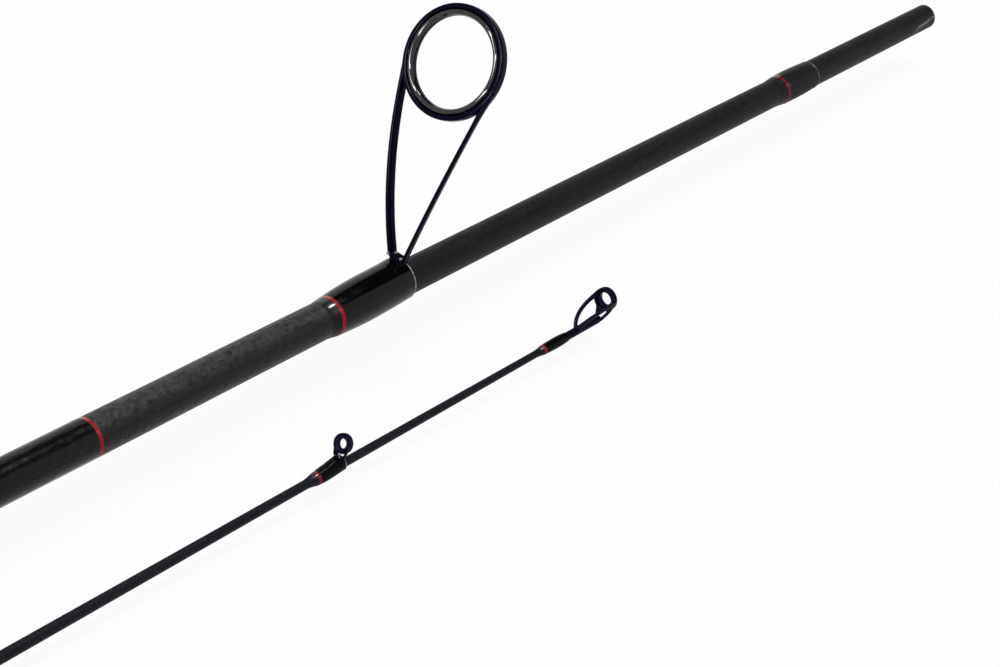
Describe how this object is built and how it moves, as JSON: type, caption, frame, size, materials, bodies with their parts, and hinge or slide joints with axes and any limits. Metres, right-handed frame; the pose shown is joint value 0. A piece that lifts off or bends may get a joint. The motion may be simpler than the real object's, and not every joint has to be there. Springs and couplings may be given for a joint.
{
  "type": "spinning rod",
  "caption": "Slim carbon spinning rod taken apart: butt section with split foam grip, screw-lock reel seat and tall stripper guide, tip section with its row of ring guides",
  "frame": {"origin": "centre of the butt cap's flat end face, on the butt section's line", "axes": "+X along the rod to the tip, +Z to the guide side, +Y to the left seen from the handle"},
  "size_m": [1.2252, 0.0547, 0.0851],
  "materials": {
    "carbon_blank": "satin black carbon and resin with fine wound ridges",
    "woven_carbon": "woven carbon cloth under a clear coat",
    "black_wrap": "black thread under glossy clear epoxy",
    "red_thread": "metallic red thread under glossy clear epoxy",
    "guide_frame": "glossy blue-black plated frame",
    "guide_ceramic": "polished dark grey ceramic",
    "grip_foam": "matte fine-celled foam",
    "cap_rubber": "matte moulded rubber",
    "seat_plastic": "satin moulded nylon",
    "hood_metal": "dark anodised aluminium",
    "red_metal": "red anodised aluminium",
    "arbor_paper": "wound paper tape"
  },
  "bodies": {
    "butt_section": {"butt_blank": "carbon_blank", "butt_cap": "cap_rubber", "rear_grip": "grip_foam", "rear_check": "red_metal", "seat_check": "red_metal", "seat_grip": "grip_foam", "reel_seat": "seat_plastic", "fixed_hood": "hood_metal", "seat_arbors": "arbor_paper", "fore_grip": "grip_foam", "fore_check": "red_metal", "woven_sleeve": "woven_carbon", "sleeve_trim": "red_thread", "stripper_frame": "guide_frame", "stripper_ring": "guide_ceramic", "stripper_wrap": "black_wrap", "stripper_trim": "red_thread", "butt_ferrule_wrap": "black_wrap", "butt_ferrule_trim": "red_thread"},
    "moving_hood": {"moving_hood": "hood_metal"},
    "lock_nut": {"lock_nut": "seat_plastic", "lock_nut_ring": "red_metal"},
    "tip_section": {"tip_blank": "carbon_blank", "tip_ferrule_wrap": "black_wrap", "tip_ferrule_trim": "red_thread", "tip_top_frame": "guide_frame", "tip_top_ring": "guide_ceramic", "tip_top_wrap": "black_wrap", "tip_top_trim": "red_thread", "guide_1_frame": "guide_frame", "guide_1_ring": "guide_ceramic", "guide_1_wrap": "black_wrap", "guide_1_trim": "red_thread", "guide_2_frame": "guide_frame", "guide_2_ring": "guide_ceramic", "guide_2_wrap": "black_wrap", "guide_2_trim": "red_thread", "guide_3_frame": "guide_frame", "guide_3_ring": "guide_ceramic", "guide_3_wrap": "black_wrap", "guide_3_trim": "red_thread", "guide_4_frame": "guide_frame", "guide_4_ring": "guide_ceramic", "guide_4_wrap": "black_wrap", "guide_4_trim": "red_thread", "guide_5_frame": "guide_frame", "guide_5_ring": "guide_ceramic", "guide_5_wrap": "black_wrap", "guide_5_trim": "red_thread", "guide_6_frame": "guide_frame", "guide_6_ring": "guide_ceramic", "guide_6_wrap": "black_wrap", "guide_6_trim": "red_thread"}
  },
  "joints": [
    {"name": "hood_slide", "type": "slide", "parent": "butt_section", "child": "moving_hood", "axis": [-1, 0, 0], "range_m": [0, 0.0241]},
    {"name": "nut_turn", "type": "hinge", "parent": "moving_hood", "child": "lock_nut", "pos_m": [0.361, 0, 0], "axis": [-1, 0, 0], "range_deg": [0, 4320]},
    {"name": "tip_slide", "type": "slide", "parent": "butt_section", "child": "tip_section", "axis": [1, 0, 0], "range_m": [0, 1.25]}
  ],
  "couplings": [
    {"joint": "hood_slide", "follows": "nut_turn", "m_per_rad": 0.00031831}
  ]
}
